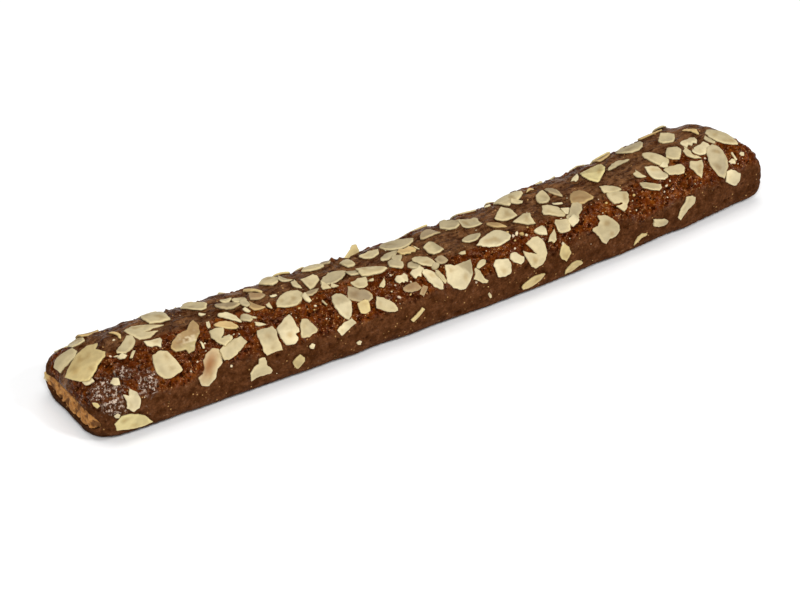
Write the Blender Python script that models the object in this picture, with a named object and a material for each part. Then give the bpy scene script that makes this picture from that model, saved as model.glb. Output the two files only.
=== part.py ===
"""Filled speculaas bar: a long, low loaf of dark spiced dough baked round a flat rope of almond paste.

Two solids: the dough, a sleeve that is open at both ends, and the filling that runs through it.
Metres, +Z up. X runs along the bar, the seam side lies on Z = 0, and the origin is the bottom centre.
"""

import math

import bmesh
import bpy
from mathutils import Matrix, Vector

# ---- The bar as a whole ----
LENGTH = 0.292  # between the middles of its two ends; the slanted end reaches 8 mm further
WIDTH = 0.0402
HEIGHT = 0.0248
BOW = 0.0061  # the middle lies this far towards -Y from the line through the ends
BOW_SHIFT = 0.35  # 0 is an even bow, and more bends the +X half harder

# ---- Cross-section of the loaf: a squarish foot below a domed top ----
WIDEST_LEVEL = 0.0089  # height at which the sides bulge most
DOME_POWER = 2.8  # 2 is an ellipse, and more is squarer
FOOT_POWER = 3.6
FOOT_SINK = 0.0007  # how much of the foot's round was pressed flat by the baking tray

# ---- The loaf swells towards its ends, where the dough was folded over ----
LEFT_SWELL = 0.0033
RIGHT_SWELL = 0.0020
LEFT_RISE = 0.0037
RIGHT_RISE = 0.0018

# ---- The two ends, at -X and +X: radii of the corners in plan, and how the top rolls down ----
LEFT_END = {
    "near_radius": 0.0105,
    "far_radius": 0.0060,
    "roll_reach": 0.0290,
    "roll_drop": 0.0132,
    "slant": -0.04,
}
RIGHT_END = {
    "near_radius": 0.0045,
    "far_radius": 0.0160,
    "roll_reach": 0.0080,
    "roll_drop": 0.0035,
    "slant": -0.40,
}
TOE_RADIUS = 0.0030  # the foot's edge below each end face
SLANT_REACH = 0.045  # length over which a slanted end goes back to square

# ---- Almond paste ----
PASTE_WIDTH = 0.0345
PASTE_THICKNESS = 0.0080
PASTE_LEVEL = 0.0085  # height of its middle
PASTE_POWER = 2.8
PASTE_RECESS = 0.0005  # it sits this far inside the ends of the dough
GAP = 0.0003  # between the paste and the dough
OVERSHOOT = 0.006  # how far the paste and its cutter run past the ends before they are trimmed

# ---- Unevenness of hand-rolled dough: (waves along the bar, waves around it, phase, depth) ----
LUMPS = (
    (5.3, 1, 0.4, 0.00034),
    (8.7, 2, 2.1, 0.00026),
    (13.1, 1, 4.0, 0.00020),
    (19.4, 3, 1.2, 0.00014),
)

# ---- Facets ----
LOAF_SEGMENTS = 36
LOAF_SPACING = 0.0052
END_RINGS = 9  # extra rings that round each end
PASTE_SEGMENTS = 20
PASTE_SPACING = 0.0200


def clear_scene():
    for obj in list(bpy.data.objects):
        bpy.data.objects.remove(obj, do_unlink=True)


def material(name, colour, roughness):
    """A Principled material for one finish of the bar."""
    made = bpy.data.materials.new(name)
    made.use_nodes = True
    surface = made.node_tree.nodes["Principled BSDF"]
    surface.inputs["Base Color"].default_value = (*colour, 1.0)
    surface.inputs["Roughness"].default_value = roughness
    surface.inputs["Metallic"].default_value = 0.0
    return made


def signed_power(value, power):
    return math.copysign(abs(value) ** power, value)


def quarter_round(distance, reach, drop):
    """How far a rounded edge has dropped, at this distance from its end."""
    if distance >= reach:
        return 0.0
    share = (reach - distance) / reach
    return drop * (1.0 - math.sqrt(max(0.0, 1.0 - share * share)))


def centre_line(along):
    """Sideways place of the bar's middle: a shallow bow, level at both ends."""
    share = 2.0 * along / LENGTH
    bow = 1.0 - min(1.0, share * share)
    return -BOW * bow * (1.0 + BOW_SHIFT * share)


def swollen(plain, left, right, along):
    """A size that grows towards each end of the bar."""
    share = 2.0 * along / LENGTH
    extra = left if share < 0 else right
    return plain + extra * share * share


def lump(along, angle):
    """Radial unevenness of the dough, none of it on the flat foot."""
    total = 0.0
    for waves, around, phase, depth in LUMPS:
        total += depth * math.sin(waves * math.pi * 2.0 * along / LENGTH + phase + around * angle)
    above_foot = max(0.0, math.sin(angle) * 0.8 + 0.2)
    return total * above_foot


def loaf_point(along, angle, inset):
    """Point of the loaf's skin. Angle 0 is the far side (+Y), a quarter turn is the top."""
    half_length = LENGTH / 2 - inset
    end = LEFT_END if along < 0 else RIGHT_END
    distance = max(0.0, half_length - abs(along))
    near_corner = quarter_round(distance, end["near_radius"], end["near_radius"])
    far_corner = quarter_round(distance, end["far_radius"], end["far_radius"])
    roll = quarter_round(distance, end["roll_reach"], end["roll_drop"])
    toe = quarter_round(distance, TOE_RADIUS, TOE_RADIUS)

    half_width = swollen(WIDTH, LEFT_SWELL, RIGHT_SWELL, along) / 2
    height = swollen(HEIGHT, LEFT_RISE, RIGHT_RISE, along) - roll
    power = DOME_POWER if math.sin(angle) > 0 else FOOT_POWER
    across = signed_power(math.cos(angle), 2.0 / power)
    rise = signed_power(math.sin(angle), 2.0 / power)

    reach = half_width - (far_corner if across > 0 else near_corner)
    swell = 1.0 + lump(along, angle) / half_width
    y = across * reach * swell
    if rise > 0:
        z = WIDEST_LEVEL + (height - WIDEST_LEVEL) * rise * swell
    else:
        z = max(0.0, WIDEST_LEVEL + (WIDEST_LEVEL + FOOT_SINK) * rise)
    z = toe + z * (height - toe) / height

    slant_share = max(0.0, 1.0 - distance / SLANT_REACH) ** 2
    x = along + end["slant"] * slant_share * y
    return Vector((x, y + centre_line(along), z))


def paste_point(along, angle, margin):
    """Point of the almond paste's skin, grown by margin."""
    across = signed_power(math.cos(angle), 2.0 / PASTE_POWER)
    rise = signed_power(math.sin(angle), 2.0 / PASTE_POWER)
    y = across * (PASTE_WIDTH / 2 + margin) + centre_line(along)
    z = PASTE_LEVEL + rise * (PASTE_THICKNESS / 2 + margin)
    return Vector((along, y, z))


def ring_places(half_length, spacing, end_rings, end_reach):
    """Places of the rings along a bar: even over its length, closer together at rounded ends."""
    body = half_length - end_reach
    count = max(2, round(2 * body / spacing))
    places = [-body + 2 * body * i / count for i in range(count + 1)]
    for i in range(1, end_rings + 1):
        turn = math.pi / 2 * i / end_rings
        place = body + end_reach * math.sin(turn)
        places = [-place, *places, place]
    return places


def shaped_bar(name, places, segments, point):
    """A capped cylinder along X, cut into rings at these places, then pressed into shape."""
    shape = bmesh.new()
    length = places[-1] - places[0]
    bmesh.ops.create_cone(
        shape, cap_ends=True, segments=segments, radius1=1.0, radius2=1.0, depth=length
    )
    # The primitive stands on Z: lay it along X, with its first edge at the far side.
    for vertex in shape.verts:
        x, y, z = vertex.co
        vertex.co = Vector((z + (places[0] + places[-1]) / 2, x, y))
    for place in places[1:-1]:
        everything = [*shape.verts, *shape.edges, *shape.faces]
        bmesh.ops.bisect_plane(
            shape, geom=everything, dist=1e-7, plane_co=(place, 0, 0), plane_no=(1, 0, 0)
        )
    for vertex in shape.verts:
        angle = math.atan2(vertex.co.z, vertex.co.y)
        vertex.co = point(vertex.co.x, angle)

    mesh = bpy.data.meshes.new(name)
    shape.to_mesh(mesh)
    shape.free()
    return bpy.data.objects.new(name, mesh)


def loaf(name, inset=0.0):
    """The whole loaf as one closed solid, shortened by inset at each end."""
    reach = max(LEFT_END["roll_reach"], RIGHT_END["far_radius"])
    places = ring_places(LENGTH / 2 - inset, LOAF_SPACING, END_RINGS, reach)
    return shaped_bar(name, places, LOAF_SEGMENTS, lambda x, a: loaf_point(x, a, inset))


def paste_rope(name, margin=0.0):
    """The rope of almond paste, still longer than the loaf."""
    places = ring_places(LENGTH / 2 + OVERSHOOT, PASTE_SPACING, 0, 0.0)
    return shaped_bar(name, places, PASTE_SEGMENTS, lambda x, a: paste_point(x, a, margin))


def centre_in_plan(objects, whole):
    """Move these objects so that the origin lies below the middle of the whole one's box."""
    along = [vertex.co.x for vertex in whole.data.vertices]
    across = [vertex.co.y for vertex in whole.data.vertices]
    middle = Vector((max(along) + min(along), max(across) + min(across), 0)) / 2
    for obj in objects:
        obj.data.transform(Matrix.Translation(-middle))


def as_cutter(obj, cutters):
    cutters.objects.link(obj)
    obj.hide_render = True
    obj.display_type = "WIRE"


def add_boolean(obj, operation, cutter):
    modifier = obj.modifiers.new(operation.title(), "BOOLEAN")
    modifier.operation = operation
    modifier.solver = "EXACT"
    modifier.object = cutter


def make_dough(parts, cutters):
    """The baked sleeve: the loaf with a flat channel through it for the paste."""
    dough = loaf("speculaas_dough")
    parts.objects.link(dough)
    channel = paste_rope("channel_cutter", GAP)
    as_cutter(channel, cutters)
    add_boolean(dough, "DIFFERENCE", channel)
    dough.data.materials.append(material("baked_speculaas", (0.105, 0.042, 0.018), 0.55))
    dough.data.shade_smooth()
    return dough


def make_filling(parts, cutters):
    """The almond paste, trimmed to end just inside the two ends of the loaf."""
    filling = paste_rope("almond_filling")
    parts.objects.link(filling)
    trim = loaf("end_trimmer", PASTE_RECESS)
    as_cutter(trim, cutters)
    add_boolean(filling, "INTERSECT", trim)
    filling.data.materials.append(material("baked_almond_paste", (0.36, 0.17, 0.06), 0.75))
    filling.data.shade_smooth()
    return filling


def main():
    clear_scene()
    parts = bpy.data.collections.new("filled_speculaas_bar")
    cutters = bpy.data.collections.new("cutters")
    for collection in (parts, cutters):
        bpy.context.scene.collection.children.link(collection)
    dough = make_dough(parts, cutters)
    make_filling(parts, cutters)
    centre_in_plan([*parts.objects, *cutters.objects], dough)


main()
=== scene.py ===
import math
import random

import bmesh
import bpy
import numpy as np
from mathutils import Matrix, Vector, kdtree, noise
from mathutils.bvhtree import BVHTree
from mathutils.geometry import delaunay_2d_cdt


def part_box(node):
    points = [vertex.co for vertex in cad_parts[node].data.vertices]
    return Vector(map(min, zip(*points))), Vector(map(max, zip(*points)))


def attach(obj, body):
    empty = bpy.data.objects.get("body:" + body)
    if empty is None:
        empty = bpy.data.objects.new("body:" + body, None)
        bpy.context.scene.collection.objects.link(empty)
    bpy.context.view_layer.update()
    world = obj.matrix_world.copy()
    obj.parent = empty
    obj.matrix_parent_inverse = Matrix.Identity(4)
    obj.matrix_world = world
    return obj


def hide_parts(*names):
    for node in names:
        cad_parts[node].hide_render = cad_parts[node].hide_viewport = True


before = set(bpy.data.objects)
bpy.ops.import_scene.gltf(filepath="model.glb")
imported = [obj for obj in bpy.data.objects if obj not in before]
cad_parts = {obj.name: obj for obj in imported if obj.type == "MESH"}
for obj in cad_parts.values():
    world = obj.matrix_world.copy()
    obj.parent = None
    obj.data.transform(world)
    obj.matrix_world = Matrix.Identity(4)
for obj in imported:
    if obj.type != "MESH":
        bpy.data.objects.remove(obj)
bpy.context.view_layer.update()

MM = 0.001

# ==== Baked dough ====
# The body of the bar is a stiff dough, brown with dark sugar and spice, rolled by hand round the paste
# and pressed on to a tray. The egg wash on its top and shoulders baked to a blistered, pored glaze,
# and the foot of its sides stayed matte.

DOUGH_CELL = 0.55 * MM
ROLLED_BACK = 0.30 * MM  # the skin lies this far inside the solid, which leaves room for the almonds
FLAT_SOLE = 2 * MM  # the tray kept the dough smooth up to here
AXIS_LEVEL = 9 * MM  # angles round the bar are measured about a line at this height
MM_PER_DEGREE = 0.33  # round the skin
HALF_LENGTH = 150 * MM
BOW_LENGTH = 292 * MM
BOW_DEPTH = 6.1 * MM
BOW_LEAN = 0.35
BOW_SHIFT = 2.6 * MM


def middle(along):
    """Sideways place of the bar's middle, which bows towards -Y."""
    share = np.clip(2 * along / BOW_LENGTH, -1, 1)
    return BOW_SHIFT - BOW_DEPTH * (1 - share**2) * (1 + BOW_LEAN * share)


def piece_from(name, mesh):
    """A piece with this mesh, in the scene."""
    piece = bpy.data.objects.new(name, mesh)
    bpy.context.scene.collection.objects.link(piece)
    return piece


def settle(piece):
    """Apply the piece's modifiers to its mesh."""
    depsgraph = bpy.context.evaluated_depsgraph_get()
    mesh = bpy.data.meshes.new_from_object(piece.evaluated_get(depsgraph))
    piece.modifiers.clear()
    piece.data = mesh


def points_of(mesh):
    """Places of the mesh's points."""
    flat = np.empty(len(mesh.vertices) * 3)
    mesh.vertices.foreach_get("co", flat)
    return flat.reshape(-1, 3)


def normals_of(mesh):
    """Which way the mesh faces at each point."""
    flat = np.empty(len(mesh.vertices) * 3)
    mesh.vertices.foreach_get("normal", flat)
    return flat.reshape(-1, 3)


def move_points(mesh, points):
    """Put the mesh's points in these places."""
    mesh.vertices.foreach_set("co", points.ravel())
    mesh.update()


def remesh(piece, cell):
    """Give the piece an even mesh of this cell size."""
    even = piece.modifiers.new("even", "REMESH")
    even.mode = "VOXEL"
    even.voxel_size = cell
    settle(piece)


def weigh(piece, name, weights):
    """A vertex group with one weight for each point."""
    group = piece.vertex_groups.new(name=name)
    for level in range(1, 11):
        picked = np.flatnonzero(np.round(weights * 10) == level)
        group.add([int(i) for i in picked], level / 10, "REPLACE")


def thin_out(piece, hidden, share):
    """Keep this share of the mesh where nothing shows it."""
    weigh(piece, "hidden", hidden.astype(float))
    coarse = piece.modifiers.new("coarse", "DECIMATE")
    coarse.vertex_group = "hidden"
    coarse.ratio = share
    settle(piece)
    piece.data.shade_smooth()


def smooth(piece, rounds, weights=None):
    """Even out the piece's facets, fully where the weight is 1."""
    soft = piece.modifiers.new("soft", "SMOOTH")
    soft.factor = 0.5
    soft.iterations = rounds
    if weights is not None:
        weigh(piece, "soft", weights)
        soft.vertex_group = "soft"
    settle(piece)


def step(low, high, values):
    """0 below low, 1 above high, and a smooth rise between."""
    share = np.clip((values - low) / (high - low), 0, 1)
    return share * share * (3 - 2 * share)


def hills(points, size, seed):
    """Smooth unevenness from -1 to 1, its hills about one size apart along each axis."""
    shift = Vector((seed * 7.31, seed * 3.17, seed * 5.73))
    scaled = points / np.asarray(size)
    return np.array([noise.noise(Vector(p) + shift) for p in scaled])


def paint(mesh, name, values):
    """One number for each point, which a material can read."""
    layer = mesh.attributes.new(name, "FLOAT", "POINT")
    layer.data.foreach_set("value", np.asarray(values, dtype=np.float32))


def around_bar(points):
    """Degrees round the bar: 0 is the far side, 90 the top and 180 the near side."""
    angle = np.degrees(np.arctan2(points[:, 2] - AXIS_LEVEL, points[:, 1] - middle(points[:, 0])))
    return np.where(angle < -90, angle + 360, angle)


dough = piece_from("baked_dough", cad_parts["speculaas_dough"].data.copy())
dough.data.materials.clear()
remesh(dough, DOUGH_CELL)

skin = points_of(dough.data)
paste_low, paste_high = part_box("almond_filling")
CHANNEL_HALF = 17.8 * MM
CHANNEL_MARGIN = 0.6 * MM
SHOWS_FROM_END = 14 * MM  # the channel's walls are finished this far in
from_middle = np.abs(skin[:, 1] - middle(skin[:, 0]))
in_channel = (
    (from_middle < CHANNEL_HALF)
    & (skin[:, 2] > paste_low[2] - CHANNEL_MARGIN)
    & (skin[:, 2] < paste_high[2] + CHANNEL_MARGIN)
)
end_distance = HALF_LENGTH - np.abs(skin[:, 0])
hidden = in_channel & (end_distance > SHOWS_FROM_END)
outside = np.where(in_channel, 0.0, 1.0)
smooth(dough, rounds=24, weights=outside)

skin = points_of(dough.data)
outward = normals_of(dough.data)
angle = around_bar(skin)
along = skin[:, 0] / MM
near_angle = np.where(angle < 90, 180 - angle, angle)

# The smooth top skin gives way to the pored shoulder along a wavy line, and that to the matte foot.
TOP_EDGE_ALONG = (-150, -60, -30, 10, 90, 112, 150)
TOP_EDGE_ANGLE = (96, 94, 104, 119, 119, 106, 100)
TOP_EDGE_WAVE = 5
TOP_EDGE_SOFT = 5
FAR_EDGE_ANGLE = 137
FOOT_ANGLE = 158
FOOT_EDGE_WAVE = 9
FOOT_EDGE_SOFT = 7
top_edge = np.where(angle < 90, FAR_EDGE_ANGLE, np.interp(along, TOP_EDGE_ALONG, TOP_EDGE_ANGLE))
top_edge = top_edge + TOP_EDGE_WAVE * hills(skin, 11 * MM, 1)
foot_edge = FOOT_ANGLE + FOOT_EDGE_WAVE * hills(skin, 9 * MM, 2)
on_foot = step(foot_edge - FOOT_EDGE_SOFT, foot_edge + FOOT_EDGE_SOFT, near_angle)
below_top = step(top_edge - TOP_EDGE_SOFT, top_edge + TOP_EDGE_SOFT, near_angle)
shoulder = below_top * (1 - on_foot) * outside
top = (1 - below_top) * outside

# Unevenness of the skin: depth in mm, size of its hills in mm, and seed.
UNEVENNESS = (
    (0.60, 13, 3),
    (0.62 - 0.40 * on_foot, 5, 4),
    (1.00 * shoulder, 2.9, 5),
    (0.45 * shoulder, 1.6, 6),
    (0.60 * top, (10, 2.6, 2.6), 7),
    (0.20, 1.9, 8),
)
HIGHEST_HILL = 0.75
relief = sum(depth * hills(skin, np.multiply(size, MM), seed) for depth, size, seed in UNEVENNESS)
relief = np.minimum(relief, HIGHEST_HILL)

# The middle sagged a little: depth and reach in mm, and degrees round the bar and their reach.
SAG_DEPTH, SAG_LENGTH, SAG_ANGLE, SAG_SPREAD = 0.8, 17, 55, 26
relief -= SAG_DEPTH * np.exp(-((along / SAG_LENGTH) ** 2) - ((angle - SAG_ANGLE) / SAG_SPREAD) ** 2)

# Folds left in the top skin where the dough was rolled up: degrees round the bar, from and to in mm
# along it, width and depth in mm.
FOLDS = (
    (119, 8, 96, 1.0, 0.55),
    (84, -60, 40, 1.1, 0.25),
    (72, -20, 120, 1.3, 0.30),
    (99, -135, -70, 1.0, 0.22),
    (62, -140, -40, 1.4, 0.30),
)
FOLD_WANDER = 4  # degrees
for fold, (at, start, stop, width, depth) in enumerate(FOLDS):
    wander = at + FOLD_WANDER * hills(skin[:, :1] * np.ones((1, 3)), 22 * MM, 20 + fold)
    sideways = (angle - wander) * MM_PER_DEGREE
    length = step(start - 8, start + 4, along) * (1 - step(stop - 4, stop + 8, along))
    relief -= depth * length * np.exp(-((sideways / width) ** 2)) * outside

# Pores where steam broke through the glaze.
PORES = 3400
PORE_RADIUS = (0.5, 1.45)
PORE_DEPTH = 0.85
pore_chance = shoulder * step(-0.25, 0.35, hills(skin, 7 * MM, 9)) + 0.06 * top + 0.05 * on_foot
pore_chance = pore_chance * outside * (skin[:, 2] > 2 * MM)
dice = random.Random(41)
tree = kdtree.KDTree(len(skin))
for index, point in enumerate(skin):
    tree.insert(point, index)
tree.balance()
pit = np.zeros(len(skin))
for index in dice.choices(range(len(skin)), weights=pore_chance, k=PORES):
    radius = dice.uniform(*PORE_RADIUS) * dice.uniform(0.6, 1.0)
    depth = dice.uniform(0.4, 1.0)
    for _, close, distance in tree.find_range(skin[index], radius * MM):
        share = 1 - (distance / (radius * MM)) ** 2
        pit[close] = max(pit[close], depth * share)
relief -= PORE_DEPTH * pit


def near_spot(at, around, radius):
    """1 at a spot on the skin, and less the further from it."""
    return np.exp(-(((along - at) / radius) ** 2) - ((angle - around) * MM_PER_DEGREE / radius) ** 2)


# Crumbs of dough that stuck to the skin, and deeper cracks in it: mm along, degrees round, radius and
# height in mm.
LOOSE = (
    (-31.0, 40, 1.1, 1.5),
    (-28.5, 46, 0.9, 1.0),
    (-33.0, 47, 0.8, 0.8),
    (1.8, 46, 1.0, 1.5),
    (-113.0, 42, 0.7, 0.7),
    (-101.0, 44, 0.8, 0.9),
    (-88.0, 43, 0.8, 0.8),
    (27.0, 45, 0.7, 0.7),
    (60.0, 44, 0.8, 0.8),
    (90.0, 42, 0.7, 0.7),
    (-60.5, 117, 0.9, 0.8),
    (-131.0, 113, 1.3, -1.5),
    (-130.0, 117, 1.0, -1.3),
    (-132.5, 111, 0.9, -1.1),
    (35.0, 143.5, 1.3, -1.6),
    (47.5, 162, 0.9, -1.0),
    (51.5, 121, 0.9, -1.0),
)
for at, around, radius, height in LOOSE:
    near = near_spot(at, around, radius)
    relief += height * near * outside
    # Cracks are painted dark, as painted shade inside them, and the stuck crumbs somewhat darker.
    pit = np.maximum(pit, near * (1 if height < 0 else 0.6))

relief = np.where(in_channel, 0.0, relief) * step(0.2 * MM, FLAT_SOLE, skin[:, 2])
rolled_back = ROLLED_BACK * outside * step(0, FLAT_SOLE, skin[:, 2])
skin = skin + outward * (relief * MM - rolled_back)[:, None]
skin[:, 2] = np.maximum(skin[:, 2], 0)
move_points(dough.data, skin)

SOLE_DARK_LEVEL = 3.9 * MM  # the tray browned the foot up to here, and painted shade darkens it where it meets the floor
SOLE_DARK_HIGHER = 2.2 * MM  # and this much further on the end faces
paint(dough.data, "shoulder", shoulder)
paint(dough.data, "foot", on_foot)
# The pit mask also darkens the crust's colour: painted shade inside the pores and cracks.
paint(dough.data, "pit", pit)
sole_dark_level = SOLE_DARK_LEVEL + SOLE_DARK_HIGHER * step(6 * MM, 1 * MM, end_distance)
# The sole is darker: browned by the tray, and painted shade where the bar meets the floor.
paint(dough.data, "sole", step(1, 0.25, skin[:, 2] / sole_dark_level + 0.2 * hills(skin, 5 * MM, 12)))

# Patches of thick, blistered egg wash, given a painted sheen: a darker ground with pale painted
# highlights on it, and real gloss: mm along, degrees round, and their reach in mm.
SHEEN_PATCHES = ((-141, 141, 6.0), (-126, 145, 4.2), (-133, 129, 3.0), (-141, 158, 4.0))
sheen_patch = np.zeros(len(skin))
for spot in SHEEN_PATCHES:
    sheen_patch = np.maximum(sheen_patch, near_spot(*spot))
paint(dough.data, "sheen_patch", sheen_patch)
thin_out(dough, hidden, share=0.66)


def material(name):
    """A new material, its nodes and its surface."""
    made = bpy.data.materials.new(name)
    made.use_nodes = True
    return made, made.node_tree, made.node_tree.nodes["Principled BSDF"]


def node(tree, kind, inputs=None, **settings):
    """Add a node; an input is a number, a colour, or another node's output."""
    made = tree.nodes.new(kind)
    for key, value in settings.items():
        setattr(made, key, value)
    for key, value in (inputs or {}).items():
        if isinstance(value, bpy.types.NodeSocket):
            tree.links.new(value, made.inputs[key])
        else:
            made.inputs[key].default_value = value
    return made


def grain(tree, size, detail=3.0, rough=0.55, stretch=None):
    """Noise whose spots are about this large, in metres, as a number from 0 to 1."""
    place = node(tree, "ShaderNodeTexCoord").outputs["Object"]
    if stretch:
        place = node(tree, "ShaderNodeMapping", {"Vector": place, "Scale": stretch}).outputs["Vector"]
    spots = {"Vector": place, "Scale": 1 / size, "Detail": detail, "Roughness": rough}
    return node(tree, "ShaderNodeTexNoise", spots).outputs["Fac"]


def spread(tree, value, low, high, out_low=0.0, out_high=1.0):
    """Stretch a number's range, and clamp it."""
    ranges = {"From Min": low, "From Max": high, "To Min": out_low, "To Max": out_high}
    return node(tree, "ShaderNodeMapRange", {"Value": value, **ranges}).outputs["Result"]


def maths(tree, operation, first, second):
    """One sum with two numbers."""
    return node(tree, "ShaderNodeMath", {0: first, 1: second}, operation=operation).outputs[0]


def times(tree, first, second):
    """Two numbers multiplied."""
    return maths(tree, "MULTIPLY", first, second)


def blend(tree, share, first, second, way="MIX"):
    """Mix two colours."""
    made = node(tree, "ShaderNodeMix", data_type="RGBA", blend_type=way)
    for socket, value in ((0, share), (6, first), (7, second)):
        if isinstance(value, bpy.types.NodeSocket):
            tree.links.new(value, made.inputs[socket])
        else:
            made.inputs[socket].default_value = value
    return made.outputs[2]


def emboss(tree, surface, height, distance, strength=1.0, socket="Normal"):
    """Let the surface catch the light as if it had this fine relief."""
    relief = {"Height": height, "Strength": strength, "Distance": distance}
    made = node(tree, "ShaderNodeBump", relief)
    tree.links.new(made.outputs["Normal"], surface.inputs[socket])


def painted(tree, name):
    """The number that was painted on the mesh under this name."""
    return node(tree, "ShaderNodeAttribute", attribute_name=name).outputs["Fac"]


FOOT_BROWN = (0.048, 0.0135, 0.0024, 1)
FOOT_PALE = (0.140, 0.051, 0.0185, 1)
# The sole's colour: browned by the tray, and painted shade where the bar meets the floor.
SOLE_BROWN_AND_SHADE = (0.026, 0.0085, 0.0026, 1)
GLAZE_DARK = (0.030, 0.0042, 0.0002, 1)
GLAZE_RED = (0.126, 0.0215, 0.0006, 1)
GLAZE_AMBER = (0.255, 0.070, 0.0060, 1)
TOP_BROWN = (0.036, 0.0075, 0.0005, 1)
TOP_PALE = (0.205, 0.087, 0.0280, 1)
# Painted shade inside pores and holes.
PORE_SHADE_BROWN = (0.022, 0.0032, 0.0002, 1)
GOLD_SPECK = (0.50, 0.28, 0.10, 1)
# Painted sheen on thick egg wash: its darker ground, and its pale painted highlights.
SHEEN_GROUND_BROWN = (0.058, 0.019, 0.0075, 1)
SHEEN_HIGHLIGHT_PALE = (0.76, 0.59, 0.45, 1)
# Painted highlight: small pale glints on the glaze.
GLAZE_SPARKLE_HIGHLIGHT = (0.46, 0.240, 0.095, 1)
WARM_GLOSS = (1.0, 0.66, 0.46, 1)  # dark sugar tints what the crust reflects

crust, graph, surface = material("baked_crust")
on_shoulder = painted(graph, "shoulder")
on_foot = painted(graph, "foot")
cloud = spread(graph, grain(graph, 8.0 * MM, 3.0, 0.55), 0.38, 0.62)
mottle = spread(graph, grain(graph, 3.4 * MM, 5.0, 0.66), 0.38, 0.62)
fine = spread(graph, grain(graph, 1.0 * MM, 3.0, 0.62), 0.36, 0.64)
wrinkle = spread(graph, grain(graph, 2.2 * MM, 5.0, 0.68, stretch=(0.35, 1, 1)), 0.38, 0.64)

# The colour of each zone, and where they meet.
foot_share = times(graph, mottle, spread(graph, fine, 0, 1, 0.35, 1))
foot_colour = blend(graph, foot_share, FOOT_BROWN, FOOT_PALE)
glaze_share = times(graph, spread(graph, mottle, 0, 1, 0.25, 1), spread(graph, cloud, 0, 1, 0.6, 1))
glaze_colour = blend(graph, glaze_share, GLAZE_DARK, GLAZE_RED)
amber = spread(graph, grain(graph, 2.2 * MM, 5.0, 0.68), 0.46, 0.68)
amber = times(graph, spread(graph, cloud, 0, 1, 0.20, 0.8), amber)
glaze_colour = blend(graph, amber, glaze_colour, GLAZE_AMBER)
top_share = times(graph, wrinkle, spread(graph, cloud, 0, 1, 0.5, 1))
top_colour = blend(graph, top_share, TOP_BROWN, TOP_PALE)
colour = blend(graph, on_shoulder, top_colour, glaze_colour)
colour = blend(graph, on_foot, colour, foot_colour)

# Painted shade in holes and pores and at the browned sole, gold specks of spice, and painted glints on the
# glaze.
holes = spread(graph, grain(graph, 1.9 * MM, 3.0, 0.55), 0.405, 0.355)
holes = times(graph, holes, spread(graph, on_shoulder, 0, 1, 0.6, 1.0))
holes = times(graph, holes, spread(graph, on_foot, 0, 1, 1.0, 0.3))
dark = maths(graph, "MAXIMUM", holes, spread(graph, painted(graph, "pit"), 0.3, 0.9, 0.0, 0.8))
colour = blend(graph, dark, colour, PORE_SHADE_BROWN)
colour = blend(graph, spread(graph, painted(graph, "sole"), 0, 1, 0.0, 0.85), colour, SOLE_BROWN_AND_SHADE)
place = node(graph, "ShaderNodeTexCoord").outputs["Object"]
dots = node(graph, "ShaderNodeTexVoronoi", {"Vector": place, "Scale": 1 / (1.9 * MM)})
specks = spread(graph, dots.outputs["Distance"], 0.20, 0.08)
specks = times(graph, specks, spread(graph, grain(graph, 4 * MM, 2.0), 0.50, 0.58))
colour = blend(graph, specks, colour, GOLD_SPECK)
# Painted highlights: small pale glints over the shoulder's glaze.
painted_sparkles = spread(graph, grain(graph, 0.85 * MM, 2.0, 0.6), 0.63, 0.68)
painted_sparkles = times(graph, painted_sparkles, spread(graph, on_shoulder, 0, 1, 0.25, 1.0))
painted_sparkles = times(graph, painted_sparkles, spread(graph, on_foot, 0, 1, 0.7, 0.1))
colour = blend(graph, painted_sparkles, colour, GLAZE_SPARKLE_HIGHLIGHT)

# Painted sheen where the egg wash was thick: a darker ground, with pale painted highlights on it.
blisters = grain(graph, 1.25 * MM, 5.0, 0.66)
ragged = maths(graph, "ADD", painted(graph, "sheen_patch"), spread(graph, mottle, 0, 1, -0.28, 0.22))
sheen_share = spread(graph, ragged, 0.20, 0.65)
colour = blend(graph, times(graph, sheen_share, 0.6), colour, SHEEN_GROUND_BROWN)
streaks = times(graph, sheen_share, spread(graph, blisters, 0.515, 0.605))
colour = blend(graph, times(graph, streaks, 0.85), colour, SHEEN_HIGHLIGHT_PALE)
graph.links.new(colour, surface.inputs["Base Color"])

# Glossy on the streaks and on spots of the glaze, matte on the foot.
glints = spread(graph, grain(graph, 1.8 * MM, 4.0, 0.7), 0.50, 0.58)
glints = times(graph, glints, spread(graph, on_foot, 0, 1, 1.0, 0.0))
glints = times(graph, glints, spread(graph, on_shoulder, 0, 1, 0.35, 1.0))
glints = times(graph, glints, spread(graph, dark, 0, 0.5, 1.0, 0.0))
glints = maths(graph, "MAXIMUM", glints, streaks)
rough = spread(graph, on_foot, 0, 1, 0.34, 0.75)
rough = maths(graph, "ADD", rough, spread(graph, mottle, 0, 1, -0.06, 0.12))
rough = times(graph, rough, spread(graph, glints, 0, 1, 1.0, 0.45))
graph.links.new(rough, surface.inputs["Roughness"])
off_top = maths(graph, "MAXIMUM", on_shoulder, on_foot)
gloss = times(graph, spread(graph, off_top, 0, 1, 0.20, 0.0), wrinkle)
gloss = maths(graph, "ADD", gloss, spread(graph, glints, 0, 1, 0.03, 0.60))
graph.links.new(gloss, surface.inputs["Specular IOR Level"])
surface.inputs["Specular Tint"].default_value = WARM_GLOSS
graph.links.new(streaks, surface.inputs["Coat Weight"])
surface.inputs["Coat Roughness"].default_value = 0.10

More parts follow.
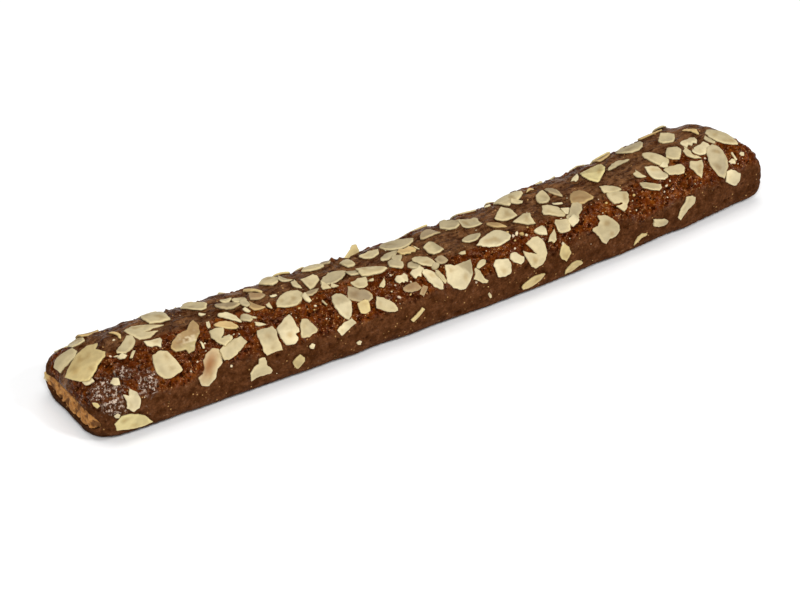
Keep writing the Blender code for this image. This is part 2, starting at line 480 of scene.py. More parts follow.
height = times(graph, grain(graph, 0.8 * MM, 3.0, 0.6), 0.30)
height = maths(graph, "ADD", height, grain(graph, 2.2 * MM, 4.0, 0.6))
height = maths(graph, "SUBTRACT", height, times(graph, holes, 0.35))
raised = times(graph, blisters, spread(graph, sheen_share, 0, 1, 0.0, 0.8))
height = maths(graph, "ADD", height, raised)
emboss(graph, surface, height, distance=1.5 * MM)
emboss(graph, surface, grain(graph, 1.3 * MM, 1.0, 0.5), distance=0.45 * MM, socket="Coat Normal")
dough.data.materials.append(crust)

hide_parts("speculaas_dough")
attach(dough, "root")

# ==== Almond paste ====
# A flat rope of ground almonds and sugar, baked inside the dough. It shows as a tan, crumbly band
# at both ends, browned where the oven reached it.

PASTE_CELL = 0.6 * MM
HIGHEST_CRUMB = 0.40  # mm
GAP_CLOSED = 0.30  # mm by which the paste swelled against the dough
LUMP_PLACE = (19.0 * MM, 10.6 * MM)  # a bit squeezed out of the left end's far corner
LUMP_SIZE = 2.2 * MM
LUMP_PUSH = (-0.9 * MM, 1.2 * MM, 0.9 * MM)
UNSEEN_TO = 134 * MM

paste = piece_from("almond_paste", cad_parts["almond_filling"].data.copy())
paste.data.materials.clear()
remesh(paste, PASTE_CELL)
smooth(paste, rounds=3)
rope = points_of(paste.data)
outward = normals_of(paste.data)
near_end = step(12 * MM, 4 * MM, HALF_LENGTH - np.abs(rope[:, 0]))
crumb = 1.0 * hills(rope, 2.8 * MM, 31) + 0.9 * hills(rope, 1.4 * MM, 32) + 0.7 * hills(rope, 6 * MM, 33)
sideways = 1 - np.abs(outward[:, 0])
crumb = np.minimum(crumb, HIGHEST_CRUMB) + GAP_CLOSED * sideways
rope = rope + outward * (crumb * near_end * MM)[:, None]
paste_middle = (paste_low[2] + paste_high[2]) / 2
rim_darkening = step(3.3 * MM, 4.3 * MM, np.abs(rope[:, 2] - paste_middle))
lump = np.exp(-(((rope - (paste_low[0], *LUMP_PLACE)) / LUMP_SIZE) ** 2).sum(axis=1))
rope += lump[:, None] * np.array(LUMP_PUSH)
move_points(paste.data, rope)
paint(paste.data, "crumb", crumb)
paint(paste.data, "browned_and_shaded", rim_darkening * (1 - lump))
paint(paste.data, "lump", lump)
thin_out(paste, np.abs(rope[:, 0]) < UNSEEN_TO, share=0.3)

PASTE_TAN = (0.385, 0.150, 0.0300, 1)
PASTE_PALE = (0.590, 0.278, 0.0760, 1)
PASTE_BROWN = (0.100, 0.032, 0.0075, 1)
PASTE_YELLOW = (0.600, 0.400, 0.1500, 1)
paste_look, graph, surface = material("baked_paste")
clots = spread(graph, grain(graph, 1.7 * MM, 5.0, 0.66), 0.36, 0.66)
colour = blend(graph, clots, PASTE_TAN, PASTE_PALE)
# Brown patches, a darker band towards the top and bottom edges, and painted shade in the hollows of the
# crumbly face.
browned_and_shaded = spread(graph, grain(graph, 2.6 * MM, 5.0, 0.7), 0.54, 0.70)
browned_and_shaded = maths(graph, "MAXIMUM", browned_and_shaded, times(graph, painted(graph, "browned_and_shaded"), 0.75))
browned_and_shaded = maths(graph, "MAXIMUM", browned_and_shaded, spread(graph, painted(graph, "crumb"), -0.05, -0.35, 0.0, 0.8))
colour = blend(graph, browned_and_shaded, colour, PASTE_BROWN)
colour = blend(graph, spread(graph, painted(graph, "lump"), 0.15, 0.5), colour, PASTE_YELLOW)
graph.links.new(colour, surface.inputs["Base Color"])
surface.inputs["Roughness"].default_value = 0.75
surface.inputs["Specular IOR Level"].default_value = 0.2
emboss(graph, surface, grain(graph, 0.8 * MM, 5.0, 0.68), distance=0.7 * MM, strength=0.9)
paste.data.materials.append(paste_look)

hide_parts("almond_filling")
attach(paste, "root")

# ==== Flaked almonds ====
# Blanched almonds cut lengthwise into slices under a millimetre thick, most of them broken. They were
# strewn on the wet egg wash, sank a little way into the dough and toasted as it baked.

# Outlines in half lengths and half widths: first along the flake, then across it.
OUTLINES = {
    "slice": (
        (-1.0, -0.1), (-0.85, -0.5), (-0.5, -0.85), (0.0, -1.0), (0.45, -0.8), (0.8, -0.4),
        (1.0, 0.0), (0.8, 0.45), (0.4, 0.85), (-0.1, 1.0), (-0.6, 0.8), (-0.9, 0.45),
    ),
    "half": (
        (-1.0, -0.8), (-0.5, -1.0), (0.1, -0.95), (0.6, -0.65), (0.9, -0.25), (1.0, 0.15),
        (0.8, 0.6), (0.4, 0.9), (-0.1, 1.0), (-0.75, 0.95), (-0.9, 0.3), (-0.9, -0.2),
    ),
    "dome": (
        (-1.0, 0.75), (-0.9, 0.1), (-0.6, -0.6), (-0.1, -1.0), (0.4, -0.85), (0.8, -0.2),
        (1.0, 0.6), (0.9, 0.8), (0.4, 0.8), (0.0, 1.0), (-0.6, 0.9),
    ),
    "wedge": (
        (-1.0, -0.9), (-0.3, -0.75), (0.4, -0.3), (1.0, 0.1), (0.4, 0.6), (-0.3, 1.0), (-0.9, 0.6),
        (-0.8, -0.2),
    ),
    "block": (
        (-1.0, -0.5), (-0.6, -1.0), (0.2, -0.9), (0.85, -0.75), (1.0, 0.1), (0.75, 0.9), (0.0, 1.0),
        (-0.8, 0.8),
    ),
    "kite": ((-1.0, 0.0), (-0.4, -0.8), (0.2, -1.0), (1.0, -0.1), (0.5, 0.6), (-0.1, 1.0), (-0.7, 0.55)),
    "stick": ((-1.0, -0.7), (0.0, -1.0), (0.9, -0.8), (1.0, 0.6), (0.2, 0.9), (-0.9, 1.0)),
    "sliver": (
        (-1.0, 0.9), (-0.75, 0.0), (-0.2, -0.85), (0.4, -0.9), (0.9, 0.0), (1.0, 0.5),
        (0.8, 0.6), (0.4, 0.2), (0.0, 0.1), (-0.5, 0.4),
    ),
    "bite": (
        (-0.6, -0.8), (0.05, -1.0), (0.5, -1.0), (0.85, -0.5), (0.8, 0.3), (0.35, 0.85), (-0.4, 1.0),
        (-0.65, 0.8), (-1.0, -0.05), (-1.0, -0.4), (-0.65, -0.2), (-0.05, 0.1), (-0.3, -0.3),
    ),
    "shield": (
        (-0.6, -0.95), (-0.1, -1.0), (0.45, -0.8), (0.9, -0.35), (1.0, 0.05), (0.8, 0.45),
        (0.4, 0.65), (0.25, 1.0), (-0.1, 0.85), (-0.45, 0.45), (-0.75, 0.2), (-1.0, 0.05),
        (-0.95, -0.15),
        (-0.6, -0.25), (-0.4, -0.6),
    ),
    "boot": (
        (0.0, -1.0), (0.55, -0.95), (0.6, -0.2), (1.0, 0.6), (0.9, 0.95), (-0.1, 0.9),
        (-0.95, 1.0), (-1.0, 0.15), (-0.6, -0.3), (-0.1, -0.4),
    ),
    "leaf": (
        (-1.2, -0.2), (-0.8, -0.5), (-0.2, -0.8), (0.45, -0.9), (0.95, -0.65), (0.7, -0.35),
        (1.0, 0.15), (0.85, 0.4), (0.4, 0.65), (0.0, 0.95), (-0.4, 1.15), (-0.8, 0.7), (-1.0, 0.25),
    ),
    "fish": (
        (-1.0, -0.55), (-0.4, -1.0), (0.05, -0.8), (1.0, 0.1), (0.5, 0.1), (-0.1, 0.3), (0.1, 0.4),
        (0.55, 0.5), (0.0, 1.0), (-0.6, 0.95), (-0.9, 0.2),
    ),
    "hoof": (
        (-0.8, 1.0), (-1.0, 0.2), (-0.75, -0.75), (-0.35, -1.0), (0.4, -0.85), (1.0, 0.0),
        (0.45, 0.65), (0.0, 0.9),
    ),
    "crook": (
        (-0.8, -0.95), (-0.05, -1.0), (0.75, -0.7), (0.45, -0.15), (-0.15, 0.25), (1.0, 0.4),
        (0.9, 0.7), (-0.25, 1.0), (-0.75, 0.45), (-1.0, -0.25),
    ),
    "shell": (
        (-1.0, -0.5), (-0.3, -1.0), (0.4, -0.85), (0.95, -0.2), (0.9, 0.6), (0.3, 1.0),
        (-0.2, 0.6), (-0.9, 0.5), (-0.5, 0.0),
    ),
    "ragged": (
        (-1.0, -0.4), (-0.6, -0.9), (0.0, -0.75), (0.5, -1.0), (1.0, -0.5), (0.9, 0.3),
        (0.6, 0.9), (0.3, 0.5), (0.0, 1.0), (-0.3, 0.6), (-0.7, 1.0), (-0.9, 0.4),
    ),
    "waist": (
        (-1.0, -0.4), (-0.8, -0.9), (-0.3, -0.75), (0.2, -1.0), (0.75, -0.9), (1.0, -0.2),
        (0.9, 0.5), (0.5, 0.9), (0.0, 0.65), (-0.3, 0.95), (-0.65, 0.8), (-0.95, 0.5),
    ),
    "chip": ((-1.0, -0.4), (0.1, -1.0), (1.0, -0.3), (0.5, 1.0), (-0.5, 0.6)),
    "tile": (
        (-1.0, -0.75), (-0.8, -1.0), (0.85, -0.9), (1.0, -0.6), (0.9, 0.2), (1.0, 1.0),
        (0.2, 0.95), (-0.7, 1.0), (-0.95, 0.7), (-0.9, 0.0),
    ),
    "tooth": ((-1.0, -0.9), (1.0, -1.0), (1.0, -0.4), (0.4, 1.0), (0.1, 0.5), (-0.5, 0.4), (-1.0, 0.1)),
    "plough": (
        (-1.0, -0.8), (-0.2, -1.0), (0.75, -0.95), (1.0, -0.5), (0.95, 0.15), (0.1, 0.6), (-0.75, 1.0),
        (-0.95, 0.3),
    ),
    "lobe": (
        (-0.3, -0.95), (0.05, -1.0), (0.5, -0.75), (0.75, -0.05), (1.0, 0.8), (0.85, 0.85), (0.5, 0.9),
        (0.05, 1.0), (-0.6, 0.85), (-0.9, 0.5), (-1.0, 0.2), (-0.95, -0.35), (-0.7, -0.85),
    ),
    "slipper": (
        (0.15, -0.95), (0.45, -0.95), (0.9, -0.5), (1.0, 0.15), (0.8, 0.6), (0.45, 1.0), (0.1, 0.7),
        (-0.4, 0.95), (-0.85, 0.7), (-1.0, 0.0), (-0.7, -0.75), (-0.4, -0.5), (-0.1, -0.6),
    ),
    "husk": (
        (-0.85, -0.7), (-0.3, -0.9), (0.2, -1.0), (0.8, -1.0), (1.0, -0.75), (0.85, -0.15), (0.5, 0.3),
        (0.1, 0.6), (-0.3, 0.9), (-0.6, 1.0), (-0.9, 0.6), (-1.0, -0.05),
    ),
    "shoe": (
        (-0.65, 1.0), (-0.95, 0.2), (-1.0, -0.55), (-0.6, -1.0), (0.05, -0.5), (0.55, -0.5), (1.0, -0.5),
        (0.9, 0.5), (0.25, 0.8), (-0.35, 0.65),
    ),
    "heel": (
        (-0.2, -1.0), (0.2, -0.55), (0.4, -0.05), (0.45, 0.35), (1.0, 0.8), (0.7, 1.0), (0.1, 0.8),
        (-0.5, 0.35), (-1.0, 0.05), (-0.55, -0.4), (-0.45, -0.9),
    ),
    "flag": (
        (-1.0, -0.4), (-0.5, -0.7), (0.0, -0.95), (0.8, -1.0), (1.0, -0.15), (0.5, 0.3), (0.0, 0.75),
        (-0.65, 1.0), (-0.95, 0.8), (-1.0, 0.2),
    ),
    "torn": (
        (0.95, -1.0), (1.0, -0.5), (0.8, -0.05), (0.35, 0.45), (0.05, 0.9), (-0.3, 1.0), (-0.35, 0.7),
        (-0.85, 0.7), (-1.0, 0.4), (-0.75, 0.0), (-0.15, -0.4), (0.35, -0.5), (0.7, -0.9),
    ),
    "notched": (
        (-0.95, -0.35), (0.1, -0.8), (0.8, -1.0), (0.9, -0.75), (0.95, -0.1), (1.0, 0.2), (0.95, 0.4),
        (0.55, 0.45), (0.7, 0.7), (0.6, 0.9), (0.0, 1.0), (-0.6, 0.9), (-0.95, 0.35),
    ),
    "apron": (
        (-0.7, -1.0), (-0.4, -0.95), (-0.25, -0.75), (1.0, -0.8), (0.85, -0.3), (0.65, 0.3),
        (0.35, 0.7), (0.0, 1.0), (-0.4, 0.95), (-0.75, 0.65), (-1.0, 0.2),
        (-0.95, -0.3), (-0.8, -0.75),
    ),
    "gable": (
        (-1.0, 0.1), (-0.45, -0.4), (0.2, -0.9), (0.5, -1.0), (0.7, -0.6), (0.95, -0.2), (1.0, 0.95),
        (0.3, 1.0), (-0.5, 0.8), (-0.9, 0.4),
    ),
    "seed": (
        (-1.0, -0.2), (-0.6, -0.6), (0.0, -0.85), (0.35, -1.0), (0.75, -0.6), (0.95, -0.1), (1.0, 0.3),
        (0.75, 0.75), (0.2, 1.0), (-0.1, 0.95), (-0.5, 0.6), (-0.85, 0.1),
    ),
    "fin": ((-1.0, 1.0), (-0.3, 0.3), (0.3, -0.4), (0.7, -1.0), (1.0, -0.8), (0.95, 0.2), (0.8, 1.0)),
    "slit": (
        (-0.8, -1.0), (0.05, -0.8), (1.0, -0.5), (0.9, -0.1), (0.55, 0.35), (0.1, 0.75), (-0.3, 1.0),
        (-0.6, 0.65), (-0.8, 0.45), (-0.15, 0.45), (-0.1, 0.3), (-0.85, 0.2), (-1.0, -0.5),
    ),
}

# Each flake: outline, mm along the bar, degrees round it, length and width in mm, degrees that it is
# turned from along the bar towards the near side, and colour.
FLAKES = (
    ("block", -145.6, 53.5, 10.8, 6.4, 10, "ivory"),
    ("kite", -143.9, 121, 5.2, 4.0, 50, "pale"),
    ("leaf", -140.8, 92.5, 15.8, 13, 0, "cream"),
    ("block", -137.5, 41, 9, 6.5, 100, "ivory"),
    ("sliver", -125.9, 72, 6, 2.4, 75, "gold"),
    ("half", -131.5, 36, 9, 4, 0, "tan"),
    ("block", -126.0, 95, 11, 4.8, -37, "ivory"),
    ("chip", -130.0, 110, 4, 2, 20, "pale"),
    ("stick", -126.1, 112, 3.6, 1.2, -40, "ivory"),
    ("chip", -131.6, 106, 2.2, 1.6, 0, "pale"),
    ("fish", -115.4, 78, 15.4, 9.4, 0, "ivory"),
    ("block", -107.6, 57, 12, 10, 90, "ivory"),
    ("tooth", -116.3, 107, 7, 4.7, 0, "pale"),
    ("torn", -104.7, 112, 15.4, 14.4, 0, "tan"),
    ("lobe", -117.0, 135, 10.0, 10.8, 0, "ivory"),
    ("stick", -93.3, 101, 3.6, 1.4, 112, "pale"),
    ("slipper", -101.0, 152, 15.1, 7.8, -50, "toasted"),
    ("block", -91.5, 130, 6.5, 3.4, -5, "pale"),
    ("flag", -90.0, 141.5, 11.4, 6.8, 0, "ivory"),
    ("shell", -133.8, 158, 8.8, 6.5, 70, "pale"),
    ("hoof", -134.0, 182.5, 16.2, 6.9, 21, "butter"),
    ("chip", -137, 136, 3.6, 4, 0, "pale"),
    ("chip", -145.8, 155, 3, 2.2, 45, "cream"),
    ("chip", -140.2, 170, 2.4, 2, 0, "pale"),
    ("stick", -122.0, 178, 1.9, 0.8, 0, "tan"),
    ("block", -91.9, 56.5, 10.8, 6.2, 52, "ivory"),
    ("wedge", -92.3, 79, 3, 1.8, 40, "pale"),
    ("stick", -100.5, 127, 3.5, 1, 100, "pale"),
    ("slice", -80.3, 66, 4.8, 3, 10, "ivory"),
    ("slice", -81.7, 78, 9.6, 4.5, 28, "dull"),
    ("block", -75.9, 73, 5.5, 3.6, 20, "ivory"),
    ("block", -75.4, 84, 4.6, 3.2, 60, "grey"),
    ("wedge", -72.3, 97, 6.4, 4.6, 35, "tan"),
    ("stick", -76.7, 97, 3.3, 1.8, 75, "pale"),
    ("slice", -84.3, 100.3, 9.6, 3.4, 50, "pale"),
    ("slice", -87.8, 112, 9.4, 4, 27, "gold"),
    ("block", -79.0, 110, 5.2, 3.2, 45, "grey"),
    ("chip", -76.5, 114, 2.2, 1.8, 0, "ivory"),
    ("stick", -68.2, 60, 9.6, 1.8, 65, "gold"),
    ("half", -69.2, 77, 6.6, 4, 30, "brown"),
    ("stick", -63.7, 86, 2.8, 1.1, 5, "pale"),
    ("wedge", -67.8, 102, 3.2, 2.1, 80, "ivory"),
    ("slice", -60.1, 104, 13.2, 7.8, 165, "ivory"),
    ("slice", -50.7, 102.5, 8, 3.1, -12, "dull"),
    ("stick", -53.9, 112, 4, 2, 75, "pale"),
    ("block", -59.8, 54, 8.5, 6.2, 60, "ivory"),
    ("wedge", -55.2, 63.5, 6, 4.4, 35, "grey"),
    ("wedge", -52.6, 78.5, 5.4, 3.2, 72, "ivory"),
    ("plough", -46.8, 80.5, 6.6, 6.8, 0, "ivory"),
    ("slice", -38.4, 87, 13, 5.4, -13, "grey"),
    ("wedge", -43.6, 98.5, 4.2, 3, 40, "ivory"),
    ("wedge", -40.4, 103, 3.4, 1.9, 30, "ivory"),
    ("slice", -41.0, 50, 10, 6, 176, "ivory"),
    ("slice", -34.5, 44, 8, 3.6, 90, "dull"),
    ("slice", -42.8, 134.8, 11.6, 6.9, 88, "pale"),
    ("half", -34.3, 129.8, 10.4, 6.3, 40, "dull"),
    ("block", -35.1, 144, 5, 4.8, 90, "cream"),
    ("stick", -44.7, 157, 8, 3.3, -18, "pale"),
    ("chip", -40.1, 181, 2.2, 2.2, 0, "pale"),
    ("wedge", -75.6, 125, 4.6, 1.9, 25, "pale"),
    ("tile", -75.8, 145, 7.4, 10, 0, "ivory"),
    ("notched", -67.6, 141, 8, 11, 0, "pale"),
    ("dome", -60.2, 144.5, 7, 7.4, 0, "ivory"),
    ("boot", -81.7, 170, 9, 8, 0, "ivory"),
    ("chip", -59.8, 165.5, 2.6, 2.6, 0, "pale"),
    ("kite", -65.8, 178, 6.6, 5.8, 100, "cream"),
    ("stick", -48.5, 124, 2.6, 0.9, 70, "grey"),
    ("block", -28.8, 65, 7, 4.4, 82, "ivory"),
    ("dome", -18.8, 66, 8.6, 4.8, 180, "ivory"),
    ("slice", -6.0, 57, 15, 8.6, 0, "grey"),
    ("half", 7.3, 63.5, 8.6, 5.2, 165, "dull"),
    ("block", 17.4, 59, 8.4, 6.2, 40, "grey"),
    ("tile", 24.0, 71, 8.4, 5.6, 6, "grey"),
    ("slice", -13.3, 81, 9.8, 3.4, -16, "grey"),
    ("wedge", -12.2, 96.5, 6.6, 4.8, 110, "grey"),
    ("block", -15.0, 107, 6.2, 4.2, 35, "grey"),
    ("ragged", -6.3, 86.5, 7.8, 4.8, 0, "gold"),
    ("chip", -1.9, 86, 2.2, 2, 0, "ivory"),
    ("block", 3.5, 96.8, 7.8, 6.4, 75, "ivory"),
    ("half", -29.8, 92, 7.2, 3.8, 8, "grey"),
    ("half", -24.2, 101.3, 11.6, 5.2, 20, "ivory"),
    ("dome", -31.4, 115.5, 7, 5.8, 186, "ivory"),
    ("chip", -27.0, 115, 2.4, 2, 0, "ivory"),
    ("wedge", -24.0, 125, 4.2, 2.3, -50, "ivory"),
    ("ragged", -16.3, 128, 5.6, 4, 5, "pale"),
    ("half", -14.7, 141, 7.6, 3.6, 180, "brown"),
    ("stick", -10.2, 148, 4, 2.3, -42, "brown"),
    ("half", -26.6, 149.5, 9.6, 4.6, 36, "ivory"),
    ("stick", -14.4, 172, 6.8, 2, -33, "cream"),
    ("chip", -3.9, 163.5, 1.7, 1.5, 0, "pale"),
    ("block", -8.0, 115, 5.4, 4.2, 45, "grey"),
    ("ragged", -8.8, 127, 6.2, 4.2, 0, "pale"),
    ("slice", -4.9, 140.5, 10.8, 4.6, 65, "pale"),
    ("slice", -3.9, 117, 10.4, 5.0, 50, "ivory"),
    ("kite", 2.4, 121.8, 5.4, 4.6, 20, "dull"),
    ("slice", -1.6, 128, 3.6, 2.2, 0, "grey"),
    ("stick", -1.7, 141, 6, 2.4, 75, "ivory"),
    ("apron", 6.2, 145.5, 13.1, 10.8, 0, "pale"),
    ("chip", 11.6, 122, 2.9, 2.3, 0, "ivory"),
    ("slice", 16.6, 142, 5.4, 2.4, -20, "ivory"),
    ("heel", 14.3, 154.5, 5.8, 7.0, 0, "ivory"),
    ("slice", 19.6, 103, 8.8, 4.6, -6, "grey"),
    ("seed", 26.4, 119.3, 14.4, 7.8, 0, "pale"),
    ("block", 24.4, 154, 6.8, 7.2, 0, "pale"),
    ("block", 31.0, 149.5, 6.2, 3.6, 38, "pale"),
    ("stick", 17.7, 182, 2.6, 1, 70, "ivory"),
    ("gable", 38.1, 78.5, 8.2, 8.2, 0, "ivory"),
    ("half", 46.6, 52.5, 11.8, 8.8, -10, "ivory"),
    ("stick", 46.4, 70, 4.8, 2.4, 50, "ivory"),
    ("chip", 37.0, 49, 3, 2, 0, "pale"),
    ("sliver", 55.6, 54, 4, 1.6, -5, "gold"),
    ("slice", 56.6, 78.5, 9.2, 5.6, -60, "ivory"),
    ("slice", 62.6, 74, 9.6, 3.6, 80, "dull"),
    ("dome", 69.4, 103, 9.4, 8.4, 8, "tan"),
    ("wedge", 75.3, 63, 5, 3, -40, "pale"),
    ("husk", 83.1, 73.5, 11.4, 12.0, 0, "butter"),
    ("slice", 32.2, 95.5, 8.2, 2.9, 45, "tan"),
    ("wedge", 42.0, 107.5, 8.2, 6.2, 190, "ivory"),
    ("chip", 49.5, 105, 2, 1.6, 0, "ivory"),
    ("half", 55.3, 112, 9.6, 5, 38, "ivory"),
    ("stick", 59.1, 102, 4, 1.4, 25, "pale"),
    ("wedge", 60.2, 117, 4.2, 3.4, -20, "pale"),
    ("waist", 62.6, 126, 11, 4.8, -40, "grey"),
    ("block", 59.5, 134, 4.8, 3.6, -25, "pale"),
    ("block", 54.4, 135, 6.2, 5.6, 8, "ivory"),
    ("wedge", 49.1, 141, 5.8, 3.4, -55, "ivory"),
    ("gable", 45.2, 129.5, 5.2, 4.4, 20, "pale"),
    ("bite", 40.0, 151.5, 10.4, 11.6, 0, "ivory"),
    ("kite", 52.0, 163, 8, 5.4, 90, "cream"),
    ("shield", 71.6, 156, 12.8, 11.4, 18, "ivory"),
    ("chip", 77.8, 164, 2, 1.6, 0, "pale"),
    ("slice", 37.3, 184, 11, 4.6, -15, "cream"),
    ("dome", 55.9, 184, 8.6, 4.6, -16, "cream"),
    ("half", 82.6, 112, 8.4, 3.8, 24, "ivory"),
    ("slit", 83.2, 131, 9.0, 10.0, 0, "ivory"),
    ("sliver", 93.2, 73, 12, 3.8, -8, "grey"),
    ("dome", 104.5, 57, 12.6, 8.0, 180, "grey"),
    ("half", 107.6, 96, 12, 6.6, 240, "ivory"),
    ("block", 115.9, 99.5, 8.6, 6.2, 124, "ivory"),
    ("seed", 103.4, 117, 9.8, 8.0, 46, "pale"),
    ("wedge", 97.1, 110, 5.6, 3.2, 60, "ivory"),
    ("block", 97.5, 131, 8.8, 4.5, 34, "ivory"),
    ("block", 110.5, 125, 9, 4.8, 5, "ivory"),
    ("block", 119.9, 66, 9, 6.6, -55, "ivory"),
    ("ragged", 125.8, 90, 7.8, 4.2, -5, "pale"),
    ("sliver", 130.9, 73, 7.2, 3.2, 60, "gold"),
    ("wedge", 122.3, 113, 8.4, 3.8, 53, "ivory"),
    ("half", 127.3, 113, 9, 5.2, 170, "pale"),
    ("slice", 130.4, 134, 15, 7.8, 98, "grey"),
    ("wedge", 120.7, 134, 8.6, 7.4, 100, "ivory"),
    ("block", 133.6, 157, 7, 6, 30, "pale"),
    ("chip", 135.7, 142, 3.2, 2.5, 0, "pale"),
    ("stick", 137.1, 138, 3.9, 1, 85, "pale"),
    ("chip", 140.8, 139, 2.6, 2, 0, "pale"),
    ("stick", 133.6, 104, 5.2, 2, 60, "grey"),
    ("slice", 138.7, 108, 14.4, 8, 62, "ivory"),
    ("stick", 93.0, 44, 7, 4, 0, "tan"),
    ("shoe", 110.0, 168.5, 10.8, 5.6, 134, "ivory"),
    ("half", 97.5, 173, 8.6, 3.4, 18, "ivory"),
    ("sliver", 87.8, 184, 7, 3, -20, "cream"),
    ("stick", -147.8, 174, 5.6, 1.8, 60, "pale"),
    ("slice", 117.5, 44, 12, 5, 0, "tan"),
    ("crook", -92.4, 125.5, 7.0, 9.0, 0, "ivory"),
    ("chip", 107.6, 114, 3.6, 2.8, 0, "pale"),
)

# Flakes that bent or thinned along a line: mm along the bar and degrees round it, the line's direction in
# degrees from the bar and its place in mm below the flake's middle, the bend there in degrees, and how
# much darker the flake is above the line: painted shade on the bent half, and thinner almond.
CREASES = {
    (-42.8, 134.8): (4, -0.6, 22, 0.30),
    (6.2, 145.5): (50, -2.2, 12, 0.42),
    (-67.6, 141): (20, 0.2, 16, 0.16),
    (-75.8, 145): (80, 0.5, 10, 0.08),
    (-6.0, 57): (0, 1.6, 8, 0.10),
    (104.5, 57): (0, 2.0, 8, 0.12),
    (26.4, 119.3): (8, 2.0, 8, 0.08),
    (-34.3, 129.8): (35, -1.0, 12, -0.15),
    (71.6, 156): (0, 1.0, 10, 0.10),
    (40.0, 151.5): (50, 0.0, 8, -0.08),
    (-117.0, 135): (20, 0.0, 10, 0.10),
    (83.1, 73.5): (25, 0.0, 10, 0.30),
    (-140.8, 92.5): (20, 1.5, 10, 0.16),
    (-145.6, 53.5): (10, 1.0, 8, 0.14),
    (130.4, 134): (0, 0.0, 8, -0.10),
}

# Linear colours: of the cut face, and of the thin rim. Grey and dull are darker copies of ivory, given
# mostly to flakes on the top and far side: partly painted shade.
SHADES = {
    "pale": ((0.57, 0.475, 0.28), (0.69, 0.59, 0.34)),
    "ivory": ((0.48, 0.39, 0.215), (0.63, 0.515, 0.27)),
    "cream": ((0.49, 0.375, 0.165), (0.65, 0.51, 0.215)),
    "grey": ((0.385, 0.31, 0.175), (0.57, 0.465, 0.245)),
    "dull": ((0.30, 0.22, 0.118), (0.52, 0.40, 0.20)),
    "butter": ((0.60, 0.495, 0.225), (0.70, 0.585, 0.26)),
    "gold": ((0.50, 0.34, 0.145), (0.64, 0.48, 0.20)),
    "tan": ((0.31, 0.195, 0.080), (0.55, 0.38, 0.15)),
    "brown": ((0.28, 0.17, 0.075), (0.44, 0.32, 0.155)),
    "toasted": ((0.60, 0.49, 0.27), (0.72, 0.61, 0.35)),
}
MILKY = (0.60, 0.48, 0.29)
GLASSY = (0.43, 0.36, 0.17)
TOASTED_CORE = (0.28, 0.120, 0.035)
STANDING_FLAKE = ("fin", -24.4, 41, 9.6, 5.0, 0, "cream", 72)  # and the degrees it was tipped up
HIDDEN_FLAKES = 27  # the far side, which carries as many as the top's far half
HIDDEN_START = -139  # mm along the bar
HIDDEN_STEP = 10.6
CEILING = 28.3 * MM  # no flake stands higher than this
THICKNESS = (0.72, 0.95)  # mm
THINNER = 0.85  # small bits are thinner by this
SMALL = 5  # mm; shorter flakes are small bits
OUTSIDE = 60 * MM  # well clear of the bar
FACING_REACH = 3.5 * MM  # a flake faces as the crust does on average this far round
RIM_STEP = 0.33  # mm
SHEET_STEP = 0.85
RIM_ROUND = 0.28
DRAPE = 0.6  # a flake softened and took up this share of the bend below it
STIFFNESS = 0.4  # against bending between the places it rests on
TAPER = 0.12  # thinner towards one end by this share
BEND_KEPT = 0.5  # of the bend at a crease, once the flake has settled
FEEL_FROM = 9  # mm above the crust
FALLS_OFF = -4  # mm; what lies deeper than this is past the side of the bar
FEWEST_FELT = 6  # a bit that rests on fewer places is left out
CLEAR_SHARE = 76  # per cent of what lies below a flake is clear of it
SUNK = (0.02, 0.22)  # mm into the crust
PRESSED = 0.12  # mm by which a flake and what it lies on reach into each other
BESIDE = (-0.65, 0.10)  # mm from a flake's underside up to the crust beside it
GIVES_WAY = (-0.7, 0.75)  # mm that the crust moves at most, down and up
GIVES_ROUND = 1.6  # mm round a flake
GIVES_BELOW = 2.6  # mm below and above it
NEIGHBOUR = 0.6  # of a flake's length: how far it may reach another


def flecks(points, along, across, seed):
    """Unevenness from -1 to 1 on a flake's plane, its spots this many mm along and across."""
    return np.array([noise.noise(Vector((p / along, q / across, seed))) for p, q in points])


def rim_of(kind, length, width, dice):
    """A flake's outline in mm: evenly spaced points, with a slight waver."""
    corners = np.array(OUTLINES[kind]) * (length / 2, width / 2)
    closed = np.vstack((corners, corners[:1]))
    walked = np.concatenate(([0], np.cumsum(np.hypot(*np.diff(closed, axis=0).T))))
    count = max(12, round(walked[-1] / RIM_STEP))
    places = np.arange(count) * walked[-1] / count
    rim = np.column_stack([np.interp(places, walked, closed[:, axis]) for axis in (0, 1)])
    shift = dice.uniform(-50, 50)
    waver = np.zeros_like(rim)
    for depth, size in ((0.30, 1.7), (0.10, 0.7)):  # mm
        for axis in (0, 1):
            waver[:, axis] += depth * flecks(rim, size, size, shift + 9 * axis)
    return rim + min(1.0, length / 6) * waver


def rim_distance(rim, points):
    """Distance in mm of each point from the rim, below 0 outside it."""
    start, end = rim, np.roll(rim, -1, axis=0)
    side = end - start
    away = points[:, None, :] - start[None]
    share = np.clip((away * side).sum(axis=2) / np.maximum((side**2).sum(axis=1), 1e-9), 0, 1)
    distance = np.sqrt(((away - share[:, :, None] * side) ** 2).sum(axis=2)).min(axis=1)
    above = (start[:, 1] > points[:, None, 1]) != (end[:, 1] > points[:, None, 1])
    rise = np.where(np.abs(side[:, 1]) < 1e-12, 1e-12, side[:, 1])
    crossing = start[:, 0] + (points[:, None, 1] - start[:, 1]) / rise * side[:, 0]
    inside = (above & (points[:, None, 0] < crossing)).sum(axis=1) % 2 == 1
    return np.where(inside, distance, -distance)


